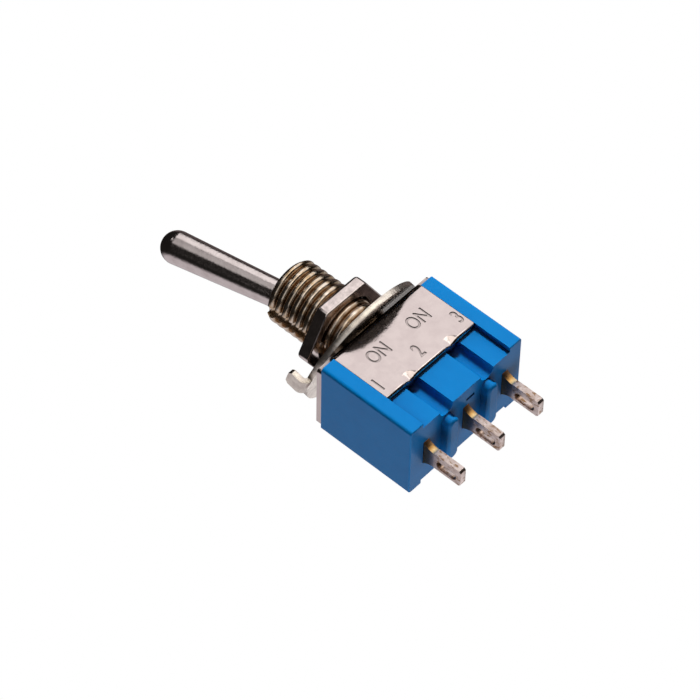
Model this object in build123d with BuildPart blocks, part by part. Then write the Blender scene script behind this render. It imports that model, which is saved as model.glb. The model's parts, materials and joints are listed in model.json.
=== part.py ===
from build123d import *
import math
import os

# Miniature single-pole change-over toggle switch with a threaded panel bushing.
# Millimetres.  The frame stands on the mounting seat: Z = 0 is the top of the metal
# cover, +Z runs up the bushing towards the lever, the three solder lugs point down
# along -Z in a row on X, and the lever swings in the XZ plane.

# ---------------------------------------------------------------- driving sizes
body_length = 13.2           # housing and cover, along X
body_width = 7.8             # over the wide faces, along Y
body_depth = 10.0            # mounting seat down to the moulded base
sheet = 0.5                  # cover, flaps and key washer stock
slip = 0.03                  # gap of a piece that drops into its seat

corner_radius = 0.3          # upright edges of the housing
base_edge_radius = 0.1       # round the base

flap_half_length = 5.15      # half the width of a cover flap
flap_length = 6.3            # seat down to the lower edge of a flap
bend_radius = 0.7            # outside of the bend between cover and flap
flap_round = 0.25            # rolled-over lower edge of a flap
stake_x = 2.42               # the two stakes and the channels below them
stake_radius = 0.8
stake_floor = 0.1            # radius at the bottom of the dent
stake_depth = 0.28
stake_round = 0.5

channel_radius = 0.77
channel_depth = 0.8          # below the flap's recess
channel_top = 5.1            # seat down to the head of a channel
rib_radius = 0.62            # barrier ribs between the terminals
rib_half_length = 2.45
rib_drop = 0.9
rib_round = 0.28

cavity_length = 10.6
cavity_width = 4.6
cavity_below = 1.6           # rocker's trunnion down to the chamber floor
cavity_corner = 0.5
slit_length = 1.0            # core-pin mark on the base
slit_width = 0.3
slit_depth = 0.4
slit_x = 0.5
slit_y = 2.05

flange_length = 11.0         # foot of the bushing, under the cover
flange_width = 5.4
flange_thickness = 1.2
flange_corner = 0.6

bushing_radius = 2.93        # thread crests, M6 x 0.75
bushing_length = 9.1
bushing_chamfer = 0.24
keyway_width = 1.2
keyway_depth = 0.52
bore_wall = 0.78             # thread crest to bore
guide_thickness = 0.5        # floor of the bushing, with the lever's guide slot
guide_clearance = 0.04

lever_tilt = 12.0            # degrees either side of upright
pivot_height = 4.6           # ball centre above the seat
ball_clearance = 0.07
lever_reach = 16.0           # ball centre to the tip of the lever
lever_tip_radius = 1.45
lever_neck_radius = 1.11     # the taper's radius, carried down to the ball centre
neck_clearance = 0.06
skirt_radius = 1.10
skirt_reach = 7.6            # ball centre down to the skirt's end
skirt_flat = 1.84            # across the two guide flats
socket_radius = 0.75         # bore in the skirt for spring and plunger
socket_top = 2.4             # ball centre down to the head of that bore

plunger_radius = 0.69
plunger_grip = 1.9           # length held in the skirt
plunger_tip_radius = 0.55
plunger_travel = 0.3
spigot_radius = 0.36
spigot_length = 0.5
spring_wire = 0.2
spring_radius = 0.54
spring_pitch = 0.42

rocker_height = 6.0          # seat down to the rocker's trunnion
rocker_tilt = 6.0            # degrees either side of level
rocker_half_length = 4.7
rocker_width = 2.7
rocker_thickness = 0.35
rocker_lip = 0.35            # upturned ends
trunnion_radius = 0.25
trunnion_half_length = 2.0
cradle_clearance = 0.05
plunger_clearance = 0.06
contact_x = 4.0
contact_radius = 0.7
contact_thickness = 0.3
contact_round = 0.12
contact_gap = 0.03           # at the closed pair, at rest

terminal_pitch = 4.7
terminal_thickness = 0.64
stem_width = 4.3
stem_rest = 0.8              # shoulder that rests on the floor, above the base
lug_width = 1.8
neck_width = 1.74
neck_flare = 0.45            # how far the neck widens towards the base, each side
neck_length = 1.1            # base down to the full width of the lug
lug_end = 13.88              # seat down to the lug tips
lug_chamfer = 0.17
slot_width = 0.88
slot_length = 2.05
slot_from_tip = 0.45
slot_shift = 0.2             # towards +Y
head_thickness = 0.4
head_width = 3.0
head_reach = 3.1             # inner end of an outer terminal's head, from the centre
cradle_prong = 0.55
cradle_gap = 0.2             # strip to prong
cradle_floor = 0.55          # height of the cradle's bridge above the chamber floor

washer_radius = 6.22
washer_hole_clearance = 0.27
washer_tilt = 15.5           # degrees: it hangs loose on the bushing, -Y side down
washer_clear = 0.17          # lower face to the rounded edge of the cover
washer_shift = -0.05
washer_key_width = 0.8
washer_key_grip = 0.31       # depth of the inner key in the keyway
tang_outer = 6.95            # locating tang's outer face, from the axis
tang_width = 1.7
tang_height = 1.35           # above the washer's upper face
tang_bend = 0.75
tang_corner = 0.28

nut_flats = 8.0
nut_thickness = 1.2
nut_rest = 0.13              # underside of the nut to the washer's raised side
nut_clearance = 0.04
nut_countersink = 0.28
nut_corner_radius = 0.5      # upright corners
nut_crown_round = 0.3        # edges of the upper face
nut_edge = 0.08              # edges of the underside

# ---------------------------------------------------------------- derived places
throat_width = neck_width + 2 * neck_flare  # a terminal where it leaves the base
half_width = body_width / 2
recess_depth = sheet                     # the flaps lie flush with the end rims
cavity_floor = rocker_height + cavity_below  # seat down to the chamber floor
bore_radius = bushing_radius - bore_wall
washer_hole_radius = bushing_radius + washer_hole_clearance
washer_key_reach = bushing_radius - washer_key_grip  # inner key, from the axis
recess_face = half_width - recess_depth  # inner face of a flap
cover_under = -sheet
base = -body_depth
chamber_floor = -cavity_floor
flange_under = cover_under - flange_thickness
guide_top = flange_under + guide_thickness
pivot = Vector(0, 0, pivot_height)
ball_radius = bore_radius - ball_clearance
taper = (lever_tip_radius - lever_neck_radius) / (lever_reach - lever_tip_radius)

tilt = math.radians(lever_tilt)
lever_axis = Vector(-math.sin(tilt), 0, math.cos(tilt))
lever_x = Vector(math.cos(tilt), 0, math.sin(tilt))
lever_plane = Plane(origin=pivot, x_dir=lever_x, z_dir=lever_axis)
lever_side = Plane(origin=pivot, x_dir=lever_x, z_dir=(0, -1, 0))  # local Y is the axis
lever_line = Axis(origin=pivot, direction=lever_axis)

rock = math.radians(rocker_tilt)
rocker_origin = Vector(0, 0, -rocker_height)
rocker_x = Vector(math.cos(rock), 0, -math.sin(rock))
rocker_normal = Vector(math.sin(rock), 0, math.cos(rock))
rocker_plane = Plane(origin=rocker_origin, x_dir=rocker_x, z_dir=rocker_normal)
rocker_side = Plane(origin=rocker_origin, x_dir=rocker_x, z_dir=(0, -1, 0))

# the plunger just clears the rocker when both stand upright
plunger_reach = pivot_height + rocker_height - rocker_thickness / 2 - plunger_clearance
# the closed contact pair sets the height of the fixed contacts
contact_drop = rocker_thickness / 2 + contact_thickness
closed_low = -rocker_height - contact_x * math.sin(rock) - contact_drop * math.cos(rock)
fixed_top = closed_low - contact_gap - contact_radius * math.sin(rock)
head_top = chamber_floor + head_thickness

lean = math.radians(washer_tilt)
# the leaning washer's lower face clears the bend along the cover's -Y edge
washer_arm = half_width - bend_radius + washer_shift
washer_rise = bend_radius + washer_clear + sheet + washer_arm * math.sin(lean)
washer_height = washer_rise / math.cos(lean) - bend_radius
nut_height = washer_height + (nut_flats / 2 - washer_shift) * math.tan(lean) + nut_rest
washer_origin = Vector(0, washer_shift, washer_height)
washer_normal = Vector(0, -math.sin(lean), math.cos(lean))
washer_plane = Plane(origin=washer_origin, x_dir=(1, 0, 0), z_dir=washer_normal)
washer_side = Plane(origin=washer_origin, x_dir=(1, 0, 0), z_dir=(0, -math.cos(lean), -math.sin(lean)))

STAND = (Align.CENTER, Align.CENTER, Align.MIN)

os.makedirs("parts", exist_ok=True)

# ---------------------------------------------------------------- moulded housing
with BuildPart() as housing:
    with BuildSketch(Plane.XY.offset(base)) as plan:
        Rectangle(body_length, body_width)
        fillet(plan.vertices(), corner_radius)
    extrude(amount=body_depth - sheet)
    fillet(housing.edges().group_by(Axis.Z)[0], base_edge_radius)
    # recess for the cover flaps on both wide faces
    with BuildSketch(Plane.XY.offset(base)):
        with GridLocations(0, body_width, 1, 2):
            Rectangle(2 * (flap_half_length + slip), 2 * recess_depth)
    extrude(amount=body_depth - sheet, mode=Mode.SUBTRACT)
    top_edges = housing.edges().group_by(Axis.Z)[-1].filter_by(Axis.X).sort_by(SortBy.LENGTH)
    chamfer(top_edges[-2:], bend_radius - sheet + slip)
    # round-bottomed channels below the stakes
    with BuildSketch(Plane.XY.offset(base)):
        with GridLocations(2 * stake_x, 2 * (recess_face - channel_depth + channel_radius), 2, 2):
            Circle(channel_radius)
        with GridLocations(2 * stake_x, 2 * recess_face, 2, 2):
            Rectangle(2 * channel_radius, 2 * (channel_depth - channel_radius))
    extrude(amount=body_depth - channel_top, mode=Mode.SUBTRACT)
    # seat of the bushing foot, then the contact chamber
    with BuildSketch(Plane.XY.offset(flange_under - slip)):
        RectangleRounded(flange_length + 2 * slip, flange_width + 2 * slip, flange_corner + slip)
    extrude(amount=body_depth, mode=Mode.SUBTRACT)
    with BuildSketch(Plane.XY.offset(chamber_floor)):
        RectangleRounded(cavity_length, cavity_width, cavity_corner)
    extrude(amount=cavity_floor, mode=Mode.SUBTRACT)
    # terminal slots: wide in the floor for the shoulders, narrow where the necks leave the base
    with BuildSketch(Plane.XY.offset(base + stem_rest)):
        with GridLocations(terminal_pitch, 0, 3, 1):
            Rectangle(terminal_thickness + 2 * slip, stem_width + 2 * slip)
    extrude(amount=body_depth, mode=Mode.SUBTRACT)
    with BuildSketch(Plane.XY.offset(base)):
        with GridLocations(terminal_pitch, 0, 3, 1):
            Rectangle(terminal_thickness + 2 * slip, throat_width + 2 * slip)
    extrude(amount=stem_rest, mode=Mode.SUBTRACT)
    # and the core-pin mark beside the middle lug
    with BuildSketch(Plane.XY.offset(base)):
        with Locations((slit_x, -slit_y)):
            Rectangle(slit_length, slit_width)
    extrude(amount=slit_depth, mode=Mode.SUBTRACT)
    # barrier ribs between the lugs, round at their ends and along their foot
    with BuildSketch(Plane.XY.offset(base - rib_drop)):
        with GridLocations(terminal_pitch, 0, 2, 1):
            SlotOverall(2 * rib_half_length, 2 * rib_radius, rotation=90)
    extrude(amount=rib_drop)
    fillet(housing.edges().group_by(Axis.Z)[0], rib_round)
housing.part.label = "housing"
export_step(housing.part, "parts/housing.step")

# ---------------------------------------------------------------- folded metal cover
# the punch that sinks a stake: a blunt shallow cone under a collar, soft at both corners
with BuildPart() as punch:
    with BuildSketch(Plane.XZ) as punch_profile:
        with BuildLine():
            Polyline(
                (0, stake_round),
                (stake_radius + stake_round, stake_round),
                (stake_radius + stake_round, 0),
                (stake_radius, 0),
                (stake_floor, -stake_depth),
                (0, -stake_depth),
                close=True,
            )
        make_face()
        for corner in ((stake_radius, 0, 0), (stake_floor, 0, -stake_depth)):
            fillet(punch_profile.vertices().sort_by_distance(corner)[0], stake_round)
    revolve(axis=Axis.Z)

with BuildPart() as cover:
    with BuildSketch(Plane.XY.offset(cover_under)):
        RectangleRounded(body_length, 2 * recess_face, corner_radius)
    extrude(amount=sheet)
    # both flaps and their bends as one folded channel
    with BuildSketch(Plane.YZ.offset(-flap_half_length)) as fold:
        with BuildLine():
            Polyline(
                (-half_width, -flap_length),
                (-half_width, 0),
                (half_width, 0),
                (half_width, -flap_length),
                (half_width - sheet, -flap_length),
                (half_width - sheet, cover_under),
                (-half_width + sheet, cover_under),
                (-half_width + sheet, -flap_length),
                close=True,
            )
        make_face()
        fillet(fold.vertices().group_by(Axis.Y)[-1], bend_radius)
        inner_corners = fold.vertices().filter_by_position(Axis.Y, cover_under - slip, cover_under + slip)
        fillet(inner_corners.filter_by_position(Axis.X, -recess_face - slip, recess_face + slip),
               bend_radius - sheet)
    extrude(amount=2 * flap_half_length)
    # stakes: half-round dents that press the lower edge into the head of each channel
    for side in (-1, 1):
        turn = (-90 * side, 0, 0)
        inside = [(x, side * recess_face, -flap_length) for x in (-stake_x, stake_x)]
        outside = [(x, side * half_width, -flap_length) for x in (-stake_x, stake_x)]
        with Locations(*[Location(spot, turn) for spot in inside]):
            Cone(channel_radius - slip, stake_floor, stake_depth, align=STAND, rotation=(180, 0, 0))
        with Locations(*[Location(spot, turn) for spot in outside]):
            add(punch.part, mode=Mode.SUBTRACT)
    with BuildSketch(Plane.XY.offset(-flap_length)):
        Rectangle(body_length, body_width)
    extrude(amount=-stake_radius, mode=Mode.SUBTRACT)
    # the lower outer edge of each flap rolls over, dents and all
    lowest = cover.edges().group_by(Axis.Z)[0]
    lowest = lowest.filter_by_position(Axis.X, -flap_half_length + slip, flap_half_length - slip)
    near_lip = lowest.filter_by_position(Axis.Y, -half_width - slip, -recess_face - slip)
    far_lip = lowest.filter_by_position(Axis.Y, recess_face + slip, half_width + slip)
    fillet(near_lip + far_lip, flap_round)
    # bushing hole
    with BuildSketch(Plane.XY.offset(cover_under)):
        Circle(bushing_radius + slip)
    extrude(amount=sheet, mode=Mode.SUBTRACT)
cover.part.label = "metal_cover"
export_step(cover.part, "parts/metal_cover.step")

# ---------------------------------------------------------------- threaded bushing
with BuildPart() as bushing:
    with BuildSketch(Plane.XY.offset(flange_under)):
        RectangleRounded(flange_length, flange_width, flange_corner)
    extrude(amount=flange_thickness)
    with BuildSketch(Plane.XY.offset(cover_under)):
        Circle(bushing_radius)
    extrude(amount=bushing_length + sheet)
    chamfer(bushing.edges().group_by(Axis.Z)[-1], bushing_chamfer)
    # bore, ball dome and flared mouth, one turned profile
    with BuildSketch(Plane.XZ):
        flare = math.tan(tilt) + taper / math.cos(tilt) ** 2
        mouth_low = lever_neck_radius / math.cos(tilt) + neck_clearance
        # where the flare meets the dome: h above the ball centre
        a = 1 + flare**2
        b = 2 * flare * mouth_low
        c = mouth_low**2 - bore_radius**2
        lip = (-b + math.sqrt(b * b - 4 * a * c)) / (2 * a)
        lip_radius = mouth_low + flare * lip
        mouth_height = bushing_length - pivot_height
        mouth_radius = mouth_low + flare * mouth_height
        # below the ball the bore widens with the swing of the lever's skirt
        skirt_room = skirt_radius / math.cos(tilt) + neck_clearance
        foot_radius = (pivot_height - guide_top) * math.tan(tilt) + skirt_room
        relief_top = pivot_height - (bore_radius - skirt_room) / math.tan(tilt)
        with BuildLine():
            l1 = Polyline(
                (0, guide_top),
                (foot_radius, guide_top),
                (bore_radius, relief_top),
                (bore_radius, pivot_height),
            )
            l2 = ThreePointArc(
                l1 @ 1,
                (
                    bore_radius * math.cos(math.asin(lip / bore_radius) / 2),
                    pivot_height + bore_radius * math.sin(math.asin(lip / bore_radius) / 2),
                ),
                (lip_radius, pivot_height + lip),
            )
            Polyline(l2 @ 1, (mouth_radius, bushing_length), (0, bushing_length), (0, guide_top))
        make_face()
    revolve(axis=Axis.Z, mode=Mode.SUBTRACT)
    # guide slot: it lets the lever's flats swing along X only
    with BuildSketch(Plane.XY.offset(flange_under)):
        guide_swing = (pivot_height - flange_under) * math.tan(tilt) + skirt_radius / math.cos(tilt)
        Rectangle(2 * (guide_swing + neck_clearance), skirt_flat + 2 * guide_clearance)
    extrude(amount=guide_thickness, mode=Mode.SUBTRACT)
    # keyway down the -X side
    with BuildSketch(Plane.XY):
        with Locations((-bushing_radius, 0)):
            Rectangle(2 * keyway_depth, keyway_width)
    extrude(amount=bushing_length, mode=Mode.SUBTRACT)
bushing.part.label = "threaded_bushing"
export_step(bushing.part, "parts/threaded_bushing.step")

# ---------------------------------------------------------------- lever
with BuildPart() as lever:
    with BuildSketch(lever_side):
        neck_angle = math.asin(lever_neck_radius / ball_radius)
        neck_start = ball_radius * math.cos(neck_angle)
        skirt_angle = math.asin(skirt_radius / ball_radius)
        skirt_start = ball_radius * math.cos(skirt_angle)
        tip_centre = lever_reach - lever_tip_radius
        with BuildLine():
            m1 = Polyline((0, -skirt_reach), (skirt_radius, -skirt_reach), (skirt_radius, -skirt_start))
            m2 = ThreePointArc(m1 @ 1, (ball_radius, 0), (lever_neck_radius, neck_start))
            m3 = Line(m2 @ 1, (lever_tip_radius, tip_centre))
            m4 = ThreePointArc(
                m3 @ 1,
                (
                    lever_tip_radius * math.cos(math.pi / 4),
                    tip_centre + lever_tip_radius * math.sin(math.pi / 4),
                ),
                (0, lever_reach),
            )
            Line(m4 @ 1, m1 @ 0)
        make_face()
    revolve(axis=lever_line)
    # guide flats on the skirt
    with BuildSketch(lever_plane.offset(-skirt_reach)):
        with GridLocations(0, skirt_flat + 2 * skirt_radius, 1, 2):
            Rectangle(4 * skirt_radius, 2 * skirt_radius)
    extrude(amount=skirt_reach - pivot_height - cover_under, mode=Mode.SUBTRACT)
    # socket for spring and plunger
    with BuildSketch(lever_plane.offset(-skirt_reach)):
        Circle(socket_radius)
    extrude(amount=skirt_reach - socket_top, mode=Mode.SUBTRACT)
lever.part.label = "bat_lever"
export_step(lever.part, "parts/bat_lever.step")

# ---------------------------------------------------------------- spring and plunger
spring_foot = skirt_reach - plunger_grip - plunger_travel - spring_wire / 4
with BuildPart() as spring:
    coil_height = spring_foot - socket_top - spring_wire * 1.2
    coil_base = pivot - lever_axis * (spring_foot - spring_wire * 0.6)
    with BuildLine() as coil:
        Helix(
            pitch=spring_pitch,
            height=coil_height,
            radius=spring_radius,
            center=coil_base,
            direction=lever_axis,
        )
    with BuildSketch(Plane(origin=coil.line @ 0, z_dir=coil.line % 0)):
        RegularPolygon(spring_wire / 2, 6)
    sweep(is_frenet=True)
spring.part.label = "plunger_spring"
export_step(spring.part, "parts/plunger_spring.step")

with BuildPart() as plunger:
    with BuildSketch(lever_side):
        head = -(skirt_reach - plunger_grip)
        tip_mid = -plunger_reach + plunger_tip_radius
        with BuildLine():
            p1 = Polyline(
                (0, head + spigot_length),
                (spigot_radius, head + spigot_length),
                (spigot_radius, head),
                (plunger_radius, head),
                (plunger_radius, tip_mid + plunger_tip_radius),
                (plunger_tip_radius, tip_mid),
            )
            p2 = ThreePointArc(
                p1 @ 1,
                (
                    plunger_tip_radius * math.cos(math.pi / 4),
                    tip_mid - plunger_tip_radius * math.sin(math.pi / 4),
                ),
                (0, -plunger_reach),
            )
            Line(p2 @ 1, p1 @ 0)
        make_face()
    revolve(axis=lever_line)
plunger.part.label = "plunger"
export_step(plunger.part, "parts/plunger.step")

# ---------------------------------------------------------------- rocker and its contacts
with BuildPart() as rocker:
    half = rocker_thickness / 2
    with BuildSketch(rocker_side) as strip:
        with BuildLine():
            Polyline(
                (-rocker_half_length, rocker_lip + half),
                (-rocker_half_length, -half),
                (rocker_half_length, -half),
                (rocker_half_length, rocker_lip + half),
                (rocker_half_length - rocker_thickness, rocker_lip + half),
                (rocker_half_length - rocker_thickness, half),
                (-rocker_half_length + rocker_thickness, half),
                (-rocker_half_length + rocker_thickness, rocker_lip + half),
                close=True,
            )
        make_face()
        fillet(strip.vertices().group_by(Axis.Y)[0], rocker_thickness)
    extrude(amount=rocker_width / 2, both=True)
    with BuildSketch(rocker_side):
        Circle(trunnion_radius)
    extrude(amount=trunnion_half_length, both=True)
rocker.part.label = "rocker_blade"
export_step(rocker.part, "parts/rocker_blade.step")

rocker_line = Axis(origin=rocker_origin, direction=rocker_normal)
for name, x in (("rocker_contact_left", -contact_x), ("rocker_contact_right", contact_x)):
    with BuildPart() as button:
        with BuildSketch(rocker_plane.offset(-half)):
            with Locations((x, 0)):
                Circle(contact_radius)
        extrude(amount=-contact_thickness)
        chamfer(button.edges().sort_by(rocker_line)[0], contact_round)
    button.part.label = name
    export_step(button.part, f"parts/{name}.step")

# ---------------------------------------------------------------- terminals
with BuildSketch(Plane.YZ) as lug_face:
    # the blade from its shoulder in the floor down to the tip, flared where it leaves the base
    with BuildLine():
        q1 = Polyline(
            (0, base + stem_rest),
            (throat_width / 2, base + stem_rest),
            (throat_width / 2, base),
        )
        q2 = TangentArc((neck_width / 2, base - neck_length), q1 @ 1, tangent=(0, 1))
        q3 = Polyline(
            q2 @ 0,
            (lug_width / 2, base - neck_length),
            (lug_width / 2, -lug_end + lug_chamfer),
            (lug_width / 2 - lug_chamfer, -lug_end),
            (0, -lug_end),
        )
        Line(q3 @ 1, q1 @ 0)
    make_face()
    mirror(about=Plane.YZ)
    with Locations((slot_shift, -lug_end + slot_from_tip + slot_length / 2)):
        SlotOverall(slot_length, slot_width, rotation=90, mode=Mode.SUBTRACT)

for name, place in (("terminal_left", -1), ("terminal_common", 0), ("terminal_right", 1)):
    x = place * terminal_pitch
    with BuildPart() as terminal:
        with BuildSketch(Plane.YZ.offset(x)):
            add(lug_face.sketch_local)
        extrude(amount=terminal_thickness / 2, both=True)
        if place:
            # the stem ends in a head folded inwards over the chamber floor
            with BuildSketch(Plane.YZ.offset(x)):
                with Locations((0, (base + stem_rest + chamber_floor) / 2)):
                    Rectangle(stem_width, chamber_floor - base - stem_rest)
                with Locations((0, chamber_floor + head_thickness / 2)):
                    Rectangle(head_width, head_thickness)
            extrude(amount=terminal_thickness / 2, both=True)
            with BuildSketch(Plane.XY.offset(chamber_floor)):
                with Locations((place * (terminal_pitch + head_reach) / 2, 0)):
                    RectangleRounded(terminal_pitch - head_reach, head_width, head_thickness / 2)
            extrude(amount=head_thickness)
        else:
            # the stem carries on as a two-pronged cradle for the rocker's trunnion
            with BuildSketch(Plane.YZ):
                prong_top = -rocker_height + trunnion_radius
                gap = rocker_width + 2 * cradle_gap
                with Locations((0, (base + stem_rest + prong_top) / 2)):
                    Rectangle(gap + 2 * cradle_prong, prong_top - base - stem_rest)
                with Locations((0, (chamber_floor + cradle_floor + prong_top) / 2)):
                    Rectangle(gap, prong_top - chamber_floor - cradle_floor, mode=Mode.SUBTRACT)
            extrude(amount=terminal_thickness / 2, both=True)
            with BuildSketch(Plane.XZ):
                with Locations((0, -rocker_height)):
                    Circle(trunnion_radius + cradle_clearance)
                with Locations((0, -rocker_height + trunnion_radius)):
                    Rectangle(2 * (trunnion_radius + cradle_clearance), 2 * trunnion_radius)
            extrude(amount=stem_width, both=True, mode=Mode.SUBTRACT)
    terminal.part.label = name
    export_step(terminal.part, f"parts/{name}.step")

for name, x in (("fixed_contact_left", -contact_x), ("fixed_contact_right", contact_x)):
    with BuildPart() as rivet:
        with BuildSketch(Plane.XY.offset(head_top)):
            with Locations((x, 0)):
                Circle(contact_radius)
        extrude(amount=fixed_top - head_top)
        chamfer(rivet.edges().sort_by(Axis.Z)[-1], (fixed_top - head_top) / 3)
    rivet.part.label = name
    export_step(rivet.part, f"parts/{name}.step")

# ---------------------------------------------------------------- locating washer
with BuildPart() as washer:
    with BuildSketch(washer_plane.offset(-sheet)):
        Circle(washer_radius)
        Circle(washer_hole_radius, mode=Mode.SUBTRACT)
        # inner key that rides in the bushing's keyway
        with Locations((-(washer_key_reach + washer_hole_radius + sheet) / 2, 0)):
            Rectangle(washer_hole_radius + sheet - washer_key_reach, washer_key_width)
    extrude(amount=sheet)
    # tang folded up from the rim
    with BuildSketch(washer_side) as tang:
        root = math.sqrt(washer_radius**2 - (tang_width / 2) ** 2) - sheet
        with BuildLine():
            Polyline(
                (-root, -sheet),
                (-tang_outer, -sheet),
                (-tang_outer, tang_height),
                (-tang_outer + sheet, tang_height),
                (-tang_outer + sheet, 0),
                (-root, 0),
                close=True,
            )
        make_face()
        fillet(tang.vertices().group_by(Axis.Y)[0].sort_by(Axis.X)[0], tang_bend)
        inside = tang.vertices().filter_by_position(Axis.Y, -slip, slip).sort_by(Axis.X)[0]
        fillet(inside, tang_bend - sheet)
    extrude(amount=tang_width / 2, both=True)
    tips = washer.edges().filter_by(Axis.X).sort_by(Axis(washer_origin, washer_normal))[-2:]
    chamfer(tips, tang_corner)
washer.part.label = "key_washer"
export_step(washer.part, "parts/key_washer.step")

# ---------------------------------------------------------------- hexagon nut
with BuildPart() as nut:
    with BuildSketch(Plane.XY.offset(nut_height)) as hexagon:
        RegularPolygon(nut_flats / 2, 6, major_radius=False)
        fillet(hexagon.vertices(), nut_corner_radius)
    extrude(amount=nut_thickness)
    # pressed blank: soft edges round the upper face, crisper ones below
    fillet(nut.edges().group_by(Axis.Z)[-1], nut_crown_round)
    chamfer(nut.edges().group_by(Axis.Z)[0], nut_edge)
    with BuildSketch(Plane.XY.offset(nut_height)):
        Circle(bushing_radius + nut_clearance)
    extrude(amount=nut_thickness, mode=Mode.SUBTRACT)
    chamfer(nut.edges().filter_by(GeomType.CIRCLE).group_by(SortBy.RADIUS)[-1], nut_countersink)
nut.part.label = "hex_nut"
export_step(nut.part, "parts/hex_nut.step")
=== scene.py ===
"""Looks of the miniature toggle switch: materials, thread, markings and studio.

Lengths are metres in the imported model's frame.
"""
import json
import math

import bmesh
import bpy
from mathutils import Matrix, Vector


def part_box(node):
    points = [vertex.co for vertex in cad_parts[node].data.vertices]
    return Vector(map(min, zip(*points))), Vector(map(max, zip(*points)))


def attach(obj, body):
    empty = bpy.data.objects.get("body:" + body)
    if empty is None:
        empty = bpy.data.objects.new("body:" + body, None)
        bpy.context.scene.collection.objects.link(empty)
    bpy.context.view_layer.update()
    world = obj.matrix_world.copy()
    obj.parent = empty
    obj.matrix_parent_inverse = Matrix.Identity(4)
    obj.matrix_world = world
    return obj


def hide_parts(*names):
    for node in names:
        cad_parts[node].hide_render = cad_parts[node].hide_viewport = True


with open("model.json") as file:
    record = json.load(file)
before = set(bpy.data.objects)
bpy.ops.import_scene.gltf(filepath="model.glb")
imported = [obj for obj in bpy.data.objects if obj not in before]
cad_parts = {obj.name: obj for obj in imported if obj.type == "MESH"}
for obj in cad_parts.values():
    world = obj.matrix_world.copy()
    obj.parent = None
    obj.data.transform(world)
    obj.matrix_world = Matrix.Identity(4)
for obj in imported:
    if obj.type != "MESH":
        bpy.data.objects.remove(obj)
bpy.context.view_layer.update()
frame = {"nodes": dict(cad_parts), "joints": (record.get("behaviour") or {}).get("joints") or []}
NODES = frame["nodes"]
JOINTS = {joint["name"]: joint for joint in frame["joints"]}

MM = 0.001
WELD = 0.0005 * MM      # points nearer than this are one
PIVOT = Vector(JOINTS["lever_toggle"]["pos_m"])
LEVER_AXIS = Vector(JOINTS["plunger_slide"]["axis"]).normalized()
LEVER_TILT = math.atan2(-LEVER_AXIS.x, LEVER_AXIS.z)
UP = Vector((0, 0, 1))

# sockets of a colour Mix node
MIX_FACTOR = 0
MIX_A = 6
MIX_B = 7
MIX_RESULT = 2


# ---------------------------------------------------------------- mesh helpers
def add_object(name, mesh, material=None):
    """A new object from a mesh, with its material."""
    piece = bpy.data.objects.new(name, mesh)
    bpy.context.scene.collection.objects.link(piece)
    if material:
        piece.data.materials.append(material)
    return piece


def copy_node(name, node, material):
    """A welded copy of a CAD node's mesh, with the triangles of its flat faces joined."""
    mesh = bpy.data.meshes.new(name)
    form = bmesh.new()
    form.from_mesh(NODES[node].data)
    bmesh.ops.remove_doubles(form, verts=form.verts, dist=WELD)
    bmesh.ops.dissolve_limit(form, angle_limit=math.radians(0.6), verts=form.verts, edges=form.edges)
    form.to_mesh(mesh)
    form.free()
    return add_object(name, mesh, material)


def apply_modifiers(piece):
    """Bakes a piece's modifiers into its mesh."""
    bpy.context.view_layer.update()
    shown = piece.evaluated_get(bpy.context.evaluated_depsgraph_get())
    mesh = bpy.data.meshes.new_from_object(shown)
    piece.modifiers.clear()
    piece.data = mesh


def round_edges(piece, width, segments=2, angle=35):
    """Rounds a piece's sharp edges."""
    bevel = piece.modifiers.new("edge_round", "BEVEL")
    bevel.width = width
    bevel.segments = segments
    bevel.limit_method = "ANGLE"
    bevel.angle_limit = math.radians(angle)
    apply_modifiers(piece)


def cut(piece, cutter):
    """Subtracts a cutter from a piece and deletes the cutter."""
    boolean = piece.modifiers.new("cut", "BOOLEAN")
    boolean.operation = "DIFFERENCE"
    boolean.solver = "EXACT"
    boolean.object = cutter
    apply_modifiers(piece)
    bpy.data.objects.remove(cutter)


def join(piece, other):
    """Adds another piece's mesh to a piece."""
    form = bmesh.new()
    form.from_mesh(piece.data)
    form.from_mesh(other.data)
    form.to_mesh(piece.data)
    form.free()
    bpy.data.objects.remove(other)


def keep_below(piece, point, normal):
    """Cuts away what stands above a plane."""
    form = bmesh.new()
    form.from_mesh(piece.data)
    everything = form.verts[:] + form.edges[:] + form.faces[:]
    bmesh.ops.bisect_plane(form, geom=everything, plane_co=point, plane_no=normal, clear_outer=True)
    form.to_mesh(piece.data)
    form.free()


def shade(piece, angle=30):
    """Smooth shading with creases, and flat faces that stay flat."""
    form = bmesh.new()
    form.from_mesh(piece.data)
    for face in form.faces:
        face.smooth = True
    for edge in form.edges:
        edge.smooth = len(edge.link_faces) != 2 or edge.calc_face_angle(0) < math.radians(angle)
    form.to_mesh(piece.data)
    form.free()
    flatten = piece.modifiers.new("flat_faces", "WEIGHTED_NORMAL")
    flatten.keep_sharp = True


def node_radius(node, origin, axis, low, high):
    """The largest distance from a line of a CAD node's points between two heights along it."""
    found = []
    for vertex in NODES[node].data.vertices:
        arm = vertex.co - origin
        height = arm.dot(axis)
        if low <= height <= high:
            found.append((arm - height * axis).length)
    return max(found)


def node_reach(node, origin, axis):
    """How far a CAD node reaches along an axis from a point."""
    return max((vertex.co - origin).dot(axis) for vertex in NODES[node].data.vertices)


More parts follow.
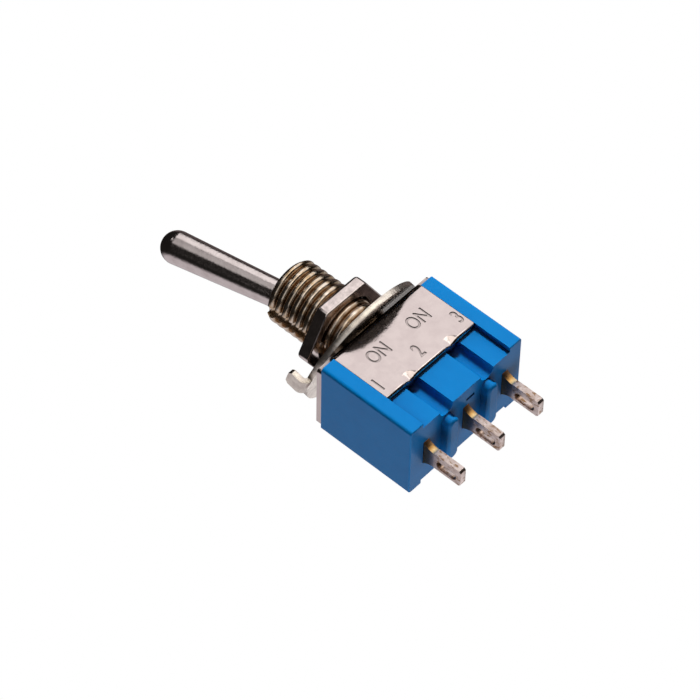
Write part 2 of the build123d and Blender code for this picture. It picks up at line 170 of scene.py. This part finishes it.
def revolve(name, outline, origin, axis, material, steps=160):
    """Turns an outline of (radius, height) points about an axis; points on the axis close it."""
    form = bmesh.new()
    side = axis.orthogonal().normalized()
    other = axis.cross(side)
    turns = [2 * math.pi * i / steps for i in range(steps)]
    arms = [math.cos(turn) * side + math.sin(turn) * other for turn in turns]
    rings = []
    for radius, height in outline:
        centre = origin + axis * height
        if radius < WELD:
            rings.append([form.verts.new(centre)])
            continue
        rings.append([form.verts.new(centre + radius * arm) for arm in arms])
    for low, high in zip(rings, rings[1:]):
        for i in range(steps):
            k = (i + 1) % steps
            corners = [low[i % len(low)], low[k % len(low)], high[k % len(high)], high[i % len(high)]]
            unique = list(dict.fromkeys(corners))
            if len(unique) > 2:
                form.faces.new(unique)
    bmesh.ops.recalc_face_normals(form, faces=form.faces)
    mesh = bpy.data.meshes.new(name)
    form.to_mesh(mesh)
    form.free()
    return add_object(name, mesh, material)


# ---------------------------------------------------------------- shader helpers
CREVICE_SAMPLES = 8


class Shader:
    """A node material with a few short calls to wire it up.  Lengths inside it are millimetres."""

    def __init__(self, name):
        self.material = bpy.data.materials.new(name)
        self.material.use_nodes = True
        self.tree = self.material.node_tree
        self.surface = self.tree.nodes["Principled BSDF"]
        place = self.tree.nodes.new("ShaderNodeTexCoord")
        scale = self.tree.nodes.new("ShaderNodeMapping")
        scale.inputs["Scale"].default_value = (1 / MM, 1 / MM, 1 / MM)
        self.tree.links.new(place.outputs["Object"], scale.inputs["Vector"])
        self.place = scale.outputs["Vector"]

    def set(self, **values):
        for name, value in values.items():
            self.surface.inputs[name.replace("_", " ")].default_value = value

    def link(self, source, target):
        self.tree.links.new(source, self.surface.inputs[target] if isinstance(target, str) else target)

    def stretched(self, x=1.0, y=1.0, z=1.0, turn=(0, 0, 0)):
        """The place, scaled along each axis, so that a pattern runs along one of them."""
        mapping = self.tree.nodes.new("ShaderNodeMapping")
        mapping.inputs["Scale"].default_value = (x, y, z)
        mapping.inputs["Rotation"].default_value = turn
        self.tree.links.new(self.place, mapping.inputs["Vector"])
        return mapping.outputs["Vector"]

    def noise(self, per_mm, detail=3.0, rough=0.55, vector=None):
        node = self.tree.nodes.new("ShaderNodeTexNoise")
        node.inputs["Scale"].default_value = per_mm
        node.inputs["Detail"].default_value = detail
        node.inputs["Roughness"].default_value = rough
        self.tree.links.new(vector or self.place, node.inputs["Vector"])
        return node.outputs["Fac"]

    def ramp(self, source, *stops):
        """Maps a value through (position, colour or grey) stops."""
        node = self.tree.nodes.new("ShaderNodeValToRGB")
        keys = node.color_ramp.elements
        while len(keys) < len(stops):
            keys.new(0.5)
        for key, (position, colour) in zip(keys, stops):
            key.position = position
            key.color = (colour, colour, colour, 1) if isinstance(colour, (int, float)) else (*colour, 1)
        self.tree.links.new(source, node.inputs["Fac"])
        return node.outputs["Color"]

    def mix(self, factor, first, second):
        """From the first colour or grey to the second, as a value goes from 0 to 1."""
        node = self.tree.nodes.new("ShaderNodeMix")
        node.data_type = "RGBA"
        self.tree.links.new(factor, node.inputs[MIX_FACTOR])
        for socket, value in ((node.inputs[MIX_A], first), (node.inputs[MIX_B], second)):
            if isinstance(value, bpy.types.NodeSocket):
                self.tree.links.new(value, socket)
            elif isinstance(value, (int, float)):
                socket.default_value = (value, value, value, 1)
            else:
                socket.default_value = (*value, 1)
        return node.outputs[MIX_RESULT]

    def span(self, vector, axis, low, high):
        """0 to 1 as one part of a vector goes from low to high."""
        split = self.tree.nodes.new("ShaderNodeSeparateXYZ")
        span = self.tree.nodes.new("ShaderNodeMapRange")
        span.inputs["From Min"].default_value = low
        span.inputs["From Max"].default_value = high
        self.tree.links.new(vector, split.inputs["Vector"])
        self.tree.links.new(split.outputs[axis], span.inputs["Value"])
        return span.outputs["Result"]

    def along(self, axis, low, high):
        """0 to 1 between two heights in millimetres along an axis of the object's own space."""
        return self.span(self.place, axis, low, high)

    def facing(self, axis, low, high):
        """0 to 1 as the surface's own direction along an axis goes from low to high."""
        place = self.tree.nodes.new("ShaderNodeTexCoord")
        return self.span(place.outputs["Normal"], axis, low, high)

    def crevice(self, reach_mm, power=1.0):
        """1 on open faces and towards 0 down in grooves and gaps narrower than the reach."""
        node = self.tree.nodes.new("ShaderNodeAmbientOcclusion")
        node.samples = CREVICE_SAMPLES
        node.inputs["Distance"].default_value = reach_mm * MM
        curve = self.tree.nodes.new("ShaderNodeMath")
        curve.operation = "POWER"
        curve.inputs[1].default_value = power
        self.tree.links.new(node.outputs["AO"], curve.inputs[0])
        return curve.outputs["Value"]

    def base(self):
        """What colours the surface so far."""
        return self.surface.inputs["Base Color"].links[0].from_socket

    def bump(self, source, depth_mm, strength=1.0):
        """Adds relief from a height pattern, over any relief there already."""
        node = self.tree.nodes.new("ShaderNodeBump")
        node.inputs["Strength"].default_value = strength
        node.inputs["Distance"].default_value = depth_mm * MM
        self.tree.links.new(source, node.inputs["Height"])
        normal = self.surface.inputs["Normal"]
        if normal.is_linked:
            self.tree.links.new(normal.links[0].from_socket, node.inputs["Normal"])
        self.tree.links.new(node.outputs["Normal"], normal)


# ---------------------------------------------------------------- materials
def plated_metal(name, light, dark, roughness, blotch_per_mm=0.6, grain=None, relief=0.002):
    """Plated metal: blotches of tarnish, fine scratches in the gloss and a little surface relief."""
    shader = Shader(name)
    shader.set(Metallic=1.0)
    blotches = shader.noise(blotch_per_mm, detail=4.0)
    shader.link(shader.ramp(blotches, (0.35, dark), (0.62, light)), "Base Color")
    scratches = shader.noise(9.0, detail=5.0, rough=0.7, vector=grain(shader) if grain else None)
    low, high = roughness
    shader.link(shader.ramp(scratches, (0.3, low), (0.75, high)), "Roughness")
    shader.bump(scratches, relief)
    return shader


def soil(shader, reach_mm, colour, power=1.0):
    """Painted shade: darkens a surface towards a colour in its grooves and gaps, where less light reaches.
    """
    open_face = shader.crevice(reach_mm, power)
    shader.link(shader.mix(open_face, colour, shader.base()), "Base Color")


def lever_nickel():
    """Polished nickel with the fine rings that turning leaves round the lever."""
    shader = plated_metal(
        "lever_nickel", (0.80, 0.72, 0.71), (0.70, 0.62, 0.61), (0.11, 0.21), blotch_per_mm=1.1,
        grain=lambda s: s.stretched(x=0.6, y=0.6, z=2.0, turn=(0, LEVER_TILT, 0)), relief=0.0022,
    )
    shader.bump(shader.noise(4.5, detail=4.0, rough=0.6), 0.016, 0.8)
    return shader.material


def thread_nickel():
    """Plating over brass: it goes thin and golden on the flanks, and the roots of the thread are painted
    dark brown as painted shade.
    """
    shader = plated_metal(
        "thread_nickel", (0.90, 0.79, 0.68), (0.62, 0.44, 0.27), (0.14, 0.26), blotch_per_mm=2.2
    )
    shader.bump(shader.noise(4.0, detail=2.0), 0.006, 0.6)
    # painted shade: dark brown in the roots of the thread
    soil(shader, reach_mm=0.5, colour=(0.30, 0.18, 0.085), power=1.3)
    return shader.material


def nut_nickel():
    """Plating over the level scratches that cutting leaves round the nut."""
    shader = plated_metal(
        "nut_nickel", (0.86, 0.76, 0.74), (0.62, 0.54, 0.52), (0.12, 0.24), blotch_per_mm=1.5, relief=0.003,
        grain=lambda s: s.stretched(x=0.4, y=0.4, z=3.0),
    )
    # painted shade: near black in the nut's threaded bore and narrow gaps
    soil(shader, reach_mm=0.35, colour=(0.06, 0.045, 0.035))
    return shader.material


def washer_steel():
    """Sheared steel: bright plate with short streaks that run across its thickness."""
    shader = plated_metal(
        "washer_steel", (0.94, 0.87, 0.78), (0.66, 0.59, 0.54), (0.16, 0.30), blotch_per_mm=1.4, relief=0.003
    )
    shader.bump(shader.noise(4.0, detail=3.0, vector=shader.stretched(z=0.15)), 0.03, 0.9)
    faces = shader.surface.inputs["Roughness"].links[0].from_socket
    sheared = shader.ramp(shader.facing("Z", -1.0, 1.0), (0.2, 0.0), (0.35, 1.0), (0.65, 1.0), (0.8, 0.0))
    shader.link(shader.mix(sheared, faces, 0.32), "Roughness")
    # painted shade: near black under the washer and in its narrow gaps
    soil(shader, reach_mm=0.8, colour=(0.03, 0.025, 0.02))
    return shader.material


def cover_tin():
    """Satin tin plate: soft mottling over a coarse and a fine pebbled surface."""
    shader = plated_metal(
        "cover_tin", (0.74, 0.645, 0.63), (0.68, 0.585, 0.575), (0.10, 0.18), blotch_per_mm=0.9
    )
    shader.bump(shader.noise(2.2, detail=2.0), 0.006, 0.6)
    shader.bump(shader.noise(5.0, detail=2.0), 0.009, 0.8)
    # painted shade: near black under the washer and along the cover's lip
    soil(shader, reach_mm=0.9, colour=(0.03, 0.025, 0.02), power=2.0)
    return shader.material


NECK_MM = 1.1           # bare neck of a lug, from the housing's base
BLADE_MM = 3.88         # whole lug, from the housing's base


def lug_silver():
    """Tarnished silver plate; the neck is bare brass, painted with a cream highlight and shade towards the
    housing on its -Y side, and painted shade on its other sides.
    """
    shader = plated_metal(
        "lug_silver", (0.82, 0.71, 0.68), (0.58, 0.46, 0.41), (0.24, 0.40), blotch_per_mm=1.2, relief=0.003,
        grain=lambda s: s.stretched(x=2.0, y=2.0, z=0.35),
    )
    pits = shader.noise(3.5, detail=4.0, rough=0.65, vector=shader.stretched(z=0.5))
    shader.bump(pits, 0.01)
    sound = shader.ramp(pits, (0.38, 0.0), (0.48, 1.0))
    silver_plate = shader.mix(sound, (0.34, 0.20, 0.11), shader.base())
    base_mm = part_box("terminal_common")[0].z / MM + BLADE_MM
    height = shader.along("Z", base_mm - NECK_MM, base_mm)
    # painted light on the brass: a cream highlight at the neck's lower end, golden brown, then painted shade
    # towards the housing
    brass = shader.ramp(
        height,
        (0.0, (0.90, 0.80, 0.60)),
        (0.18, (0.84, 0.62, 0.32)),
        (0.45, (0.50, 0.28, 0.09)),
        (1.0, (0.22, 0.13, 0.10)),
    )
    # painted shade: darker towards the housing on the sides that face away from -Y
    neck_shade = shader.ramp(
        height,
        (0.0, (0.45, 0.36, 0.33)),
        (0.5, (0.16, 0.12, 0.11)),
        (1.0, (0.06, 0.05, 0.06)),
    )
    # the side that faces -Y gets the brass with its painted light, the other sides the painted shade
    neck_light_and_shade = shader.mix(shader.facing("Y", -0.25, -0.7), neck_shade, brass)
    bare = shader.ramp(height, (0.0, 0.0), (0.03, 1.0))
    shader.link(shader.mix(bare, silver_plate, neck_light_and_shade), "Base Color")
    # painted shade: golden brown in the slots and at the lugs' roots
    soil(shader, reach_mm=0.9, colour=(0.42, 0.22, 0.08), power=1.8)
    return shader.material


def spring_steel():
    colours = (0.5, 0.5, 0.52), (0.4, 0.4, 0.42)
    return plated_metal("spring_steel", *colours, (0.25, 0.4), blotch_per_mm=3.0).material


def contact_silver():
    colours = (0.85, 0.83, 0.8), (0.72, 0.69, 0.65)
    return plated_metal("contact_silver", *colours, (0.2, 0.35), blotch_per_mm=2.0).material


def moulded_plastic(name, colour, deep, roughness):
    """Moulded plastic: faint flow mottling, a fine eroded-mould grain and a soft gloss."""
    shader = Shader(name)
    flow = shader.noise(0.5, detail=3.0)
    shader.link(shader.ramp(flow, (0.3, deep), (0.7, colour)), "Base Color")
    grain = shader.noise(7.0, detail=3.0, rough=0.6)
    low, high = roughness
    shader.link(shader.ramp(grain, (0.3, low), (0.7, high)), "Roughness")
    shader.bump(grain, 0.003)
    shader.bump(shader.noise(0.9, detail=1.0), 0.012, 0.5)
    return shader


def housing_blue():
    shader = moulded_plastic("housing_blue", (0.002, 0.34, 0.94), (0.002, 0.31, 0.88), (0.34, 0.46))
    # painted shade: deep blue, near black, in the channels and gaps and under the cover's edge
    soil(shader, reach_mm=1.6, colour=(0.001, 0.035, 0.14), power=1.2)
    shader.set(Specular_IOR_Level=0.25)
    return shader.material


def plunger_acetal():
    return moulded_plastic("plunger_acetal", (0.82, 0.8, 0.74), (0.76, 0.74, 0.68), (0.4, 0.5)).material


# ---------------------------------------------------------------- lever
BALL_BAND = 0.3 * MM    # either side of the ball's middle
TIP_ZONE = 2.2 * MM     # from the tip down past the end of its round
BALL_STEPS = 24
TIP_STEPS = 32


def make_lever(material):
    """The bat lever's upper half turned afresh, with ball, long taper and round tip, on the CAD skirt."""
    tip = node_reach("bat_lever", PIVOT, LEVER_AXIS)
    ball = node_radius("bat_lever", PIVOT, LEVER_AXIS, -BALL_BAND, BALL_BAND)
    neck = node_radius("bat_lever", PIVOT, LEVER_AXIS, ball * 0.8, ball)
    widest = node_radius("bat_lever", PIVOT, LEVER_AXIS, tip - TIP_ZONE, tip)
    tip_centre = tip - widest
    shoulder = math.acos(neck / ball)
    outline = []
    for i in range(BALL_STEPS + 1):
        turn = shoulder * i / BALL_STEPS
        outline.append((ball * math.cos(turn), ball * math.sin(turn)))
    for i in range(TIP_STEPS):
        turn = math.pi / 2 * i / TIP_STEPS
        outline.append((widest * math.cos(turn), tip_centre + widest * math.sin(turn)))
    outline.append((0, tip))
    piece = revolve("lever_turned", outline, PIVOT, LEVER_AXIS, material)
    skirt = copy_node("lever_skirt", "bat_lever", material)
    keep_below(skirt, PIVOT, LEVER_AXIS)
    join(piece, skirt)
    shade(piece, 40)
    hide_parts("bat_lever")
    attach(piece, "lever")


# ---------------------------------------------------------------- thread
PITCH = 0.75 * MM
THREAD_DEPTH = 0.34 * MM
NUT_DEPTH_SHARE = 0.6   # groove in the nut's bore, of the thread's depth
NUT_GROOVE_START = 0.02 * MM
RUN_OUT_START = 0.1 * MM
RUN_OUT = 0.6 * MM      # length over which the thread fades in above the cover
MOUTH_EDGE = 0.05 * MM
FOOT_BELOW_COVER = 0.45 * MM
BORE_SHARE = 0.8        # of the crest radius: what lies nearer the axis is the bore
KEYWAY_SHARE = 0.87     # of the crest radius: what lies between is the keyway's floor
ROWS_A_TURN = 20
AROUND = 144


def crest_share(turn):
    """Height of a thread with broad round crests over one turn, from 0 at its root to 1 at its crest."""
    from_crest = 1 - abs((turn % 1.0) - 0.5) * 2
    return 1 - from_crest ** 3


def helical_rows(low, high, radius_at):
    """Points of a right-hand helical skin: one column per angle, rows that climb with the thread."""
    columns = []
    count = math.ceil((high - low) / PITCH + 1) * ROWS_A_TURN
    for i in range(AROUND + 1):
        angle = 2 * math.pi * i / AROUND
        column = []
        for j in range(count + 1):
            climb = low + PITCH * (j / ROWS_A_TURN + i / AROUND - 1)
            height = min(high, max(low, climb))
            radius = radius_at(height, height / PITCH - i / AROUND)
            column.append(Vector((radius * math.cos(angle), radius * math.sin(angle), height)))
        columns.append(column)
    return columns


def skin(name, columns, material):
    """A mesh through columns of points, closed round the axis."""
    form = bmesh.new()
    verts = [[form.verts.new(point) for point in column] for column in columns]
    for left, right in zip(verts, verts[1:]):
        for k in range(len(left) - 1):
            form.faces.new((left[k], right[k], right[k + 1], left[k + 1]))
    bmesh.ops.remove_doubles(form, verts=form.verts, dist=WELD)
    bmesh.ops.recalc_face_normals(form, faces=form.faces)
    mesh = bpy.data.meshes.new(name)
    form.to_mesh(mesh)
    form.free()
    return add_object(name, mesh, material)


def box_cutter(low, high):
    """A plain block between two corners, to cut with."""
    form = bmesh.new()
    bmesh.ops.create_cube(form, size=1.0)
    low, high = Vector(low), Vector(high)
    for vertex in form.verts:
        vertex.co = Vector((low[k] + high[k]) / 2 + vertex.co[k] * (high[k] - low[k]) for k in range(3))
    mesh = bpy.data.meshes.new("block")
    form.to_mesh(mesh)
    form.free()
    return add_object("block", mesh)


def make_bushing(material):
    """The bushing's barrel with its real thread, chamfered rim, flared mouth and keyway, on the CAD foot."""
    node = "threaded_bushing"
    foot_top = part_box("metal_cover")[1].z - FOOT_BELOW_COVER
    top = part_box(node)[1].z
    points = [vertex.co for vertex in NODES[node].data.vertices if vertex.co.z > foot_top]
    crest = max(math.hypot(p.x, p.y) for p in points)
    rim = max(math.hypot(p.x, p.y) for p in points if p.z > top - 0.01 * MM)
    bore_points = [p for p in points if math.hypot(p.x, p.y) < BORE_SHARE * crest]
    bore = sorted({(round(p.z, 6), round(math.hypot(p.x, p.y), 6)) for p in bore_points}, reverse=True)
    key_corners = [p for p in points if BORE_SHARE * crest < math.hypot(p.x, p.y) < KEYWAY_SHARE * crest]

    def radius_at(height, turn):
        fade = min(1.0, max(0.0, (height - RUN_OUT_START) / RUN_OUT))
        body = crest - THREAD_DEPTH * fade * (1 - crest_share(turn))
        return min(body, rim + top - height)

    columns = helical_rows(foot_top, top - MOUTH_EDGE, radius_at)
    mouth = bore[0][1]
    inner = [(top, mouth + MOUTH_EDGE), (top - MOUTH_EDGE, mouth)] + bore[1:] + [(foot_top, bore[-1][1])]
    for i, column in enumerate(columns):
        angle = 2 * math.pi * i / AROUND
        outer = math.hypot(column[-1].x, column[-1].y)
        for height, radius in [(top, outer - MOUTH_EDGE)] + inner:
            column.append(Vector((radius * math.cos(angle), radius * math.sin(angle), height)))
        column.append(column[0].copy())
    piece = skin("bushing_barrel", columns, material)
    half_key = max(abs(p.y) for p in key_corners)
    key_floor = max(p.x for p in key_corners)
    cut(piece, box_cutter((-2 * crest, -half_key, 0), (key_floor, half_key, 2 * top)))
    foot = copy_node("bushing_foot", node, material)
    keep_below(foot, (0, 0, foot_top), UP)
    join(piece, foot)
    shade(piece, 50)
    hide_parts(node)
    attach(piece, "body")


def thread_nut(nut):
    """Cuts a thread groove into the wall of the nut's bore, outwards from the CAD bore."""
    low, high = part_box("hex_nut")
    bore = min(math.hypot(v.co.x, v.co.y) for v in NODES["hex_nut"].data.vertices)

    def radius_at(height, turn):
        return bore - NUT_GROOVE_START + NUT_DEPTH_SHARE * THREAD_DEPTH * (1 - crest_share(turn))

    columns = helical_rows(low.z - PITCH, high.z + PITCH, radius_at)
    for column in columns:
        column.insert(0, Vector((0, 0, column[0].z)))
        column.append(Vector((0, 0, column[-1].z)))
    cut(nut, skin("tap", columns, None))


# ---------------------------------------------------------------- markings
LETTER_HEIGHT = 1.4 * MM
LETTER_DEPTH = 0.07 * MM
LETTER_NARROWING = 0.72
STROKE_WIDENING = 0.018  # of the font's own size
POSITION_LINE = 0.42     # down the flap, as a share of its length
NUMBER_LINE = 0.76


def text_cutter(words, middle, face_y):
    """Narrow solid letters that cut a marking into the -Y face; they read along +X with their tops to +Z."""
    curve = bpy.data.curves.new("letters", "FONT")
    curve.body = words
    curve.align_x = "CENTER"
    curve.align_y = "CENTER"
    curve.resolution_u = 4
    curve.offset = STROKE_WIDENING
    curve.extrude = 1.0
    letters = bpy.data.objects.new("letters", curve)
    bpy.context.scene.collection.objects.link(letters)
    mesh = bpy.data.meshes.new_from_object(letters)
    bpy.data.objects.remove(letters)
    points = [vertex.co.copy() for vertex in mesh.vertices]
    low = Vector(min(p[k] for p in points) for k in range(3))
    high = Vector(max(p[k] for p in points) for k in range(3))
    centre = (low + high) / 2
    scale = LETTER_HEIGHT / (high.y - low.y)
    for vertex, p in zip(mesh.vertices, points):
        across = (p.x - centre.x) * scale * LETTER_NARROWING
        along = (p.y - centre.y) * scale
        vertex.co = (across, face_y - p.z / high.z * LETTER_DEPTH, middle + along)
    form = bmesh.new()
    form.from_mesh(mesh)
    bmesh.ops.remove_doubles(form, verts=form.verts, dist=WELD)
    bmesh.ops.recalc_face_normals(form, faces=form.faces)
    form.to_mesh(mesh)
    form.free()
    return add_object("letters", mesh)


def shift(piece, x):
    """Moves a piece's mesh along X."""
    piece.data.transform(Matrix.Translation((x, 0, 0)))


def engrave(cover):
    """Generic markings on the -Y flap: the two positions over the three lug numbers."""
    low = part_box("metal_cover")[0]
    flap = -low.z
    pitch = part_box("terminal_right")[1].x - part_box("terminal_common")[1].x
    for side in (-1, 1):
        words = text_cutter("ON", -POSITION_LINE * flap, low.y)
        shift(words, side * pitch / 2)
        cut(cover, words)
    for number in (1, 2, 3):
        words = text_cutter(str(number), -NUMBER_LINE * flap, low.y)
        shift(words, (number - 2) * pitch)
        cut(cover, words)


# ---------------------------------------------------------------- studio
CAMERA_PLACE = Vector((-0.141226, -0.234641, -0.122483))
CAMERA_LOOK = Vector((0.46658, 0.78240, 0.41249))
CAMERA_UP = Vector((0.57226, -0.62264, 0.53369))
LENS_MM = 191.59
SENSOR_MM = 36.0
CLIP_NEAR = 0.01
CLIP_FAR = 20.0


def make_camera():
    """A long lens from below the lugs' side, rolled so that the lever points up to the left."""
    data = bpy.data.cameras.new("camera")
    data.lens = LENS_MM
    data.sensor_width = SENSOR_MM
    data.clip_start = CLIP_NEAR
    data.clip_end = CLIP_FAR
    camera = bpy.data.objects.new("camera", data)
    bpy.context.scene.collection.objects.link(camera)
    right = CAMERA_LOOK.cross(CAMERA_UP).normalized()
    above = right.cross(CAMERA_LOOK).normalized()
    turn = Matrix((right, above, -CAMERA_LOOK)).transposed().to_4x4()
    camera.matrix_world = Matrix.Translation(CAMERA_PLACE) @ turn
    bpy.context.scene.camera = camera


SOFT_WHITE = (1.0, 0.975, 0.965)
CREAM = (1.0, 0.94, 0.82)
PINK = (1.0, 0.78, 0.78)


def area_lamp(name, direction, distance, tall, wide, power, colour=SOFT_WHITE):
    """A rectangular lamp that faces the switch from a direction; its tall side runs up the frame's Z."""
    data = bpy.data.lights.new(name, "AREA")
    data.shape = "RECTANGLE"
    data.size = tall
    data.size_y = wide
    data.energy = power
    data.color = colour
    lamp = bpy.data.objects.new(name, data)
    bpy.context.scene.collection.objects.link(lamp)
    lamp.location = Vector(direction).normalized() * distance
    lamp.rotation_mode = "QUATERNION"
    lamp.rotation_quaternion = Vector(direction).to_track_quat("Z", "X")
    lamp.visible_camera = False
    return lamp


FLOOR_REACH = 3.0
FLOOR_HEIGHT = -0.25


def make_floor():
    """A plain floor far below the switch, white to the camera; every other ray passes through it."""
    mesh = bpy.data.meshes.new("floor")
    sides = ((-1, -1), (1, -1), (1, 1), (-1, 1))
    corners = [(x * FLOOR_REACH, y * FLOOR_REACH, FLOOR_HEIGHT) for x, y in sides]
    mesh.from_pydata(corners, [], [(0, 1, 2, 3)])
    material = bpy.data.materials.new("floor_pale")
    material.use_nodes = True
    tree = material.node_tree
    white = tree.nodes.new("ShaderNodeEmission")
    through = tree.nodes.new("ShaderNodeBsdfTransparent")
    rays = tree.nodes.new("ShaderNodeLightPath")
    seen = tree.nodes.new("ShaderNodeMixShader")
    tree.links.new(rays.outputs["Is Camera Ray"], seen.inputs["Fac"])
    tree.links.new(through.outputs["BSDF"], seen.inputs[1])
    tree.links.new(white.outputs["Emission"], seen.inputs[2])
    tree.links.new(seen.outputs["Shader"], tree.nodes["Material Output"].inputs["Surface"])
    floor = add_object("floor", mesh, material)


# Where the light comes from: most lamps are on the -Y side, and the pale bench lies below in the picture.
KEY_FROM = (0.70, -0.714, 0.14)
OVERHEAD_FROM = (-0.08, -0.97, 0.05)
APRON_FROM = (0.14, -0.98, -0.12)
SIDE_FROM = (0.80, 0.45, 0.45)
SPOT_FROM = (-0.027, -0.757, 0.652)
LOW_FILL_FROM = (-0.64, -0.64, -0.42)
BACK_FILL_FROM = (0.68, 0.68, -0.26)
SIDE_FILL_FROM = (0.72, -0.56, -0.41)
BOUNCE_FROM = (-0.6, 0.15, -0.75)
FLASH_FROM = (0.45, -0.78, 0.42)
BENCH_SIDE = (-0.4, 0.85, -0.3)
BENCH_EDGE = (0.42, 0.66)  # from dark room to full bench, along BENCH_SIDE
BENCH_LIGHT = (0.56, 0.53, 0.545)
ROOM_LIGHT = (0.012, 0.011, 0.010)


def make_world():
    """White to the camera; to every other ray a dark room with a pale bench on one side."""
    world = bpy.data.worlds.new("studio")
    bpy.context.scene.world = world
    world.use_nodes = True
    tree = world.node_tree
    place = tree.nodes.new("ShaderNodeTexCoord")
    side = tree.nodes.new("ShaderNodeVectorMath")
    side.operation = "DOT_PRODUCT"
    side.inputs[1].default_value = BENCH_SIDE
    bench = tree.nodes.new("ShaderNodeMapRange")
    bench.interpolation_type = "SMOOTHSTEP"
    bench.inputs["From Min"].default_value = BENCH_EDGE[0]
    bench.inputs["From Max"].default_value = BENCH_EDGE[1]
    colour = tree.nodes.new("ShaderNodeMix")
    colour.data_type = "RGBA"
    colour.inputs[MIX_A].default_value = (*ROOM_LIGHT, 1)
    colour.inputs[MIX_B].default_value = (*BENCH_LIGHT, 1)
    around = tree.nodes["Background"]
    behind = tree.nodes.new("ShaderNodeBackground")
    rays = tree.nodes.new("ShaderNodeLightPath")
    seen = tree.nodes.new("ShaderNodeMixShader")
    tree.links.new(place.outputs["Generated"], side.inputs[0])
    tree.links.new(side.outputs["Value"], bench.inputs["Value"])
    tree.links.new(bench.outputs["Result"], colour.inputs[MIX_FACTOR])
    tree.links.new(colour.outputs[MIX_RESULT], around.inputs["Color"])
    behind.inputs["Color"].default_value = (1, 1, 1, 1)
    tree.links.new(rays.outputs["Is Camera Ray"], seen.inputs["Fac"])
    tree.links.new(around.outputs["Background"], seen.inputs[1])
    tree.links.new(behind.outputs["Background"], seen.inputs[2])
    tree.links.new(seen.outputs["Shader"], tree.nodes["World Output"].inputs["Surface"])


def make_studio():
    make_camera()
    make_floor()
    make_world()
    # the boxes and fills show only in what mirrors or shines
    mirrored = (
        area_lamp("key_box", KEY_FROM, distance=0.5, tall=0.5, wide=0.46, power=0.73),
        area_lamp("overhead_box", OVERHEAD_FROM, distance=0.52, tall=0.46, wide=0.40, power=0.28),
        area_lamp("apron_box", APRON_FROM, distance=0.5, tall=0.22, wide=0.53, power=0.33, colour=CREAM),
        area_lamp("side_box", SIDE_FROM, distance=0.5, tall=0.5, wide=0.5, power=0.07, colour=PINK),
        area_lamp("spot_box", SPOT_FROM, distance=0.5, tall=0.05, wide=0.05, power=0.024),
        area_lamp("low_fill", LOW_FILL_FROM, distance=0.6, tall=0.56, wide=0.56, power=0.40),
        area_lamp("back_fill", BACK_FILL_FROM, distance=0.6, tall=0.56, wide=0.56, power=0.40),
        area_lamp("side_fill", SIDE_FILL_FROM, distance=0.6, tall=0.28, wide=0.28, power=0.1),
    )
    for lamp in mirrored:
        lamp.visible_diffuse = False
    # a hard flash and a bounce from below light what is matt and show in no reflection
    unmirrored = (
        area_lamp("flash", FLASH_FROM, distance=0.6, tall=0.07, wide=0.07, power=3.1),
        area_lamp("bounce", BOUNCE_FROM, distance=0.6, tall=0.3, wide=0.3, power=0.42),
    )
    for lamp in unmirrored:
        lamp.visible_glossy = False
    bpy.context.scene.view_settings.view_transform = "Standard"


# ---------------------------------------------------------------- assembly
def dress(node, material):
    """Gives a CAD node, whose shape is right, its finish."""
    mesh = NODES[node].data
    mesh.materials.clear()
    mesh.materials.append(material)


def refine(node, body, material, edge, detail=None):
    """A CAD node's copy with its edges rounded and its detail cut in, which stands for the node."""
    piece = copy_node(f"{node}_finished", node, material)
    round_edges(piece, edge)
    if detail:
        detail(piece)
    shade(piece)
    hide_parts(node)
    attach(piece, body)


blue, tin, silver = housing_blue(), cover_tin(), lug_silver()
nickel, thread, nut_finish, steel = lever_nickel(), thread_nickel(), nut_nickel(), washer_steel()
inner_silver = contact_silver()

make_lever(nickel)
make_bushing(thread)
refine("housing", "body", blue, 0.12 * MM)
refine("metal_cover", "body", tin, 0.05 * MM, engrave)
refine("key_washer", "body", steel, 0.06 * MM)
refine("hex_nut", "nut", nut_finish, 0.15 * MM, thread_nut)
for lug in ("terminal_left", "terminal_common", "terminal_right"):
    refine(lug, "body", silver, 0.1 * MM)
dress("plunger_spring", spring_steel())
dress("plunger", plunger_acetal())
dress("rocker_blade", inner_silver)
for side in ("left", "right"):
    dress(f"rocker_contact_{side}", inner_silver)
    dress(f"fixed_contact_{side}", inner_silver)

make_studio()
